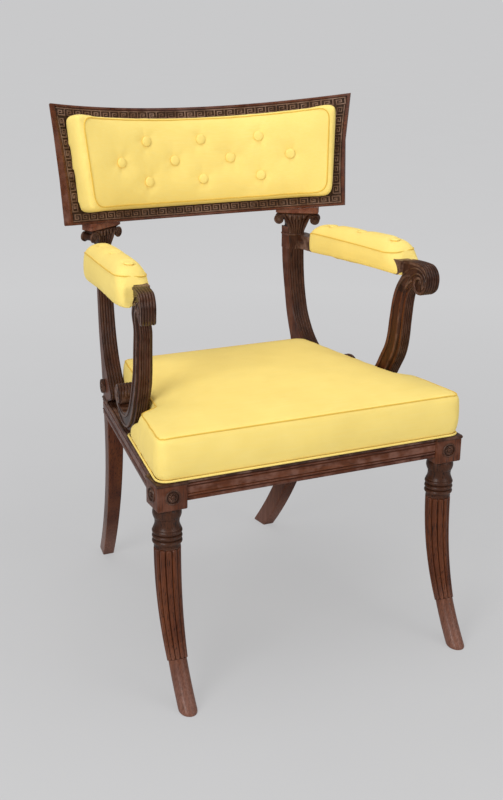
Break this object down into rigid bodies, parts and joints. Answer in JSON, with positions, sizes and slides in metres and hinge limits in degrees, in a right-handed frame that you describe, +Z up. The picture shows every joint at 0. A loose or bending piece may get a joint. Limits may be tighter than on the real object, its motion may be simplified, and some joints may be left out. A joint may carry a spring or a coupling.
{
  "type": "klismos armchair",
  "caption": "Klismos armchair with sabre legs, a curved crest tablet on scrolled stiles, scrolled arm supports and buttoned pads on back, arms and seat.",
  "frame": {"origin": "on the floor, under the middle of the chair's outline in plan", "axes": "+Z up, -Y is the side that the sitter faces, +X is to the right as seen from the front"},
  "size_m": [0.5778, 0.6398, 0.8883],
  "materials": {
    "mahogany": "French polished, satin",
    "carved_mahogany": "waxed carving, darker in its hollows",
    "beech": "bare, planed",
    "yellow_cover": "plain fine weave, matt",
    "jute_webbing": "coarse twill, matt",
    "screw_steel": "dull"
  },
  "bodies": {
    "root": {"arm_button_1_left": "yellow_cover", "arm_button_1_right": "yellow_cover", "arm_button_2_left": "yellow_cover", "arm_button_2_right": "yellow_cover", "arm_button_3_left": "yellow_cover", "arm_button_3_right": "yellow_cover", "arm_pad_left": "yellow_cover", "arm_pad_right": "yellow_cover", "arm_rail_left": "beech", "arm_rail_right": "beech", "arm_support_left": "carved_mahogany", "arm_support_right": "carved_mahogany", "back_button_01": "yellow_cover", "back_button_02": "yellow_cover", "back_button_03": "yellow_cover", "back_button_04": "yellow_cover", "back_button_05": "yellow_cover", "back_button_06": "yellow_cover", "back_button_07": "yellow_cover", "back_button_08": "yellow_cover", "back_button_09": "yellow_cover", "back_button_10": "yellow_cover", "back_pad": "yellow_cover", "capital_left": "carved_mahogany", "capital_right": "carved_mahogany", "corner_block_front_left": "beech", "corner_block_front_right": "beech", "corner_block_rear_left": "beech", "corner_block_rear_right": "beech", "crest_tablet": "mahogany", "front_leg_left": "mahogany", "front_leg_right": "mahogany", "front_rail": "mahogany", "rear_leg_left": "mahogany", "rear_leg_right": "mahogany", "rear_rail": "mahogany", "rosette_front_left": "carved_mahogany", "rosette_front_right": "carved_mahogany", "rosette_side_left": "carved_mahogany", "rosette_side_right": "carved_mahogany", "rosette_stile_left": "carved_mahogany", "rosette_stile_right": "carved_mahogany", "screw_front_left_a": "screw_steel", "screw_front_left_b": "screw_steel", "screw_front_right_a": "screw_steel", "screw_front_right_b": "screw_steel", "screw_rear_left_a": "screw_steel", "screw_rear_left_b": "screw_steel", "screw_rear_right_a": "screw_steel", "screw_rear_right_b": "screw_steel", "seat_cushion": "yellow_cover", "seat_frame_front": "beech", "seat_frame_left": "beech", "seat_frame_rear": "beech", "seat_frame_right": "beech", "seat_webbing": "jute_webbing", "side_rail_left": "mahogany", "side_rail_right": "mahogany", "stile_left": "carved_mahogany", "stile_right": "carved_mahogany"}
  },
  "joints": []
}
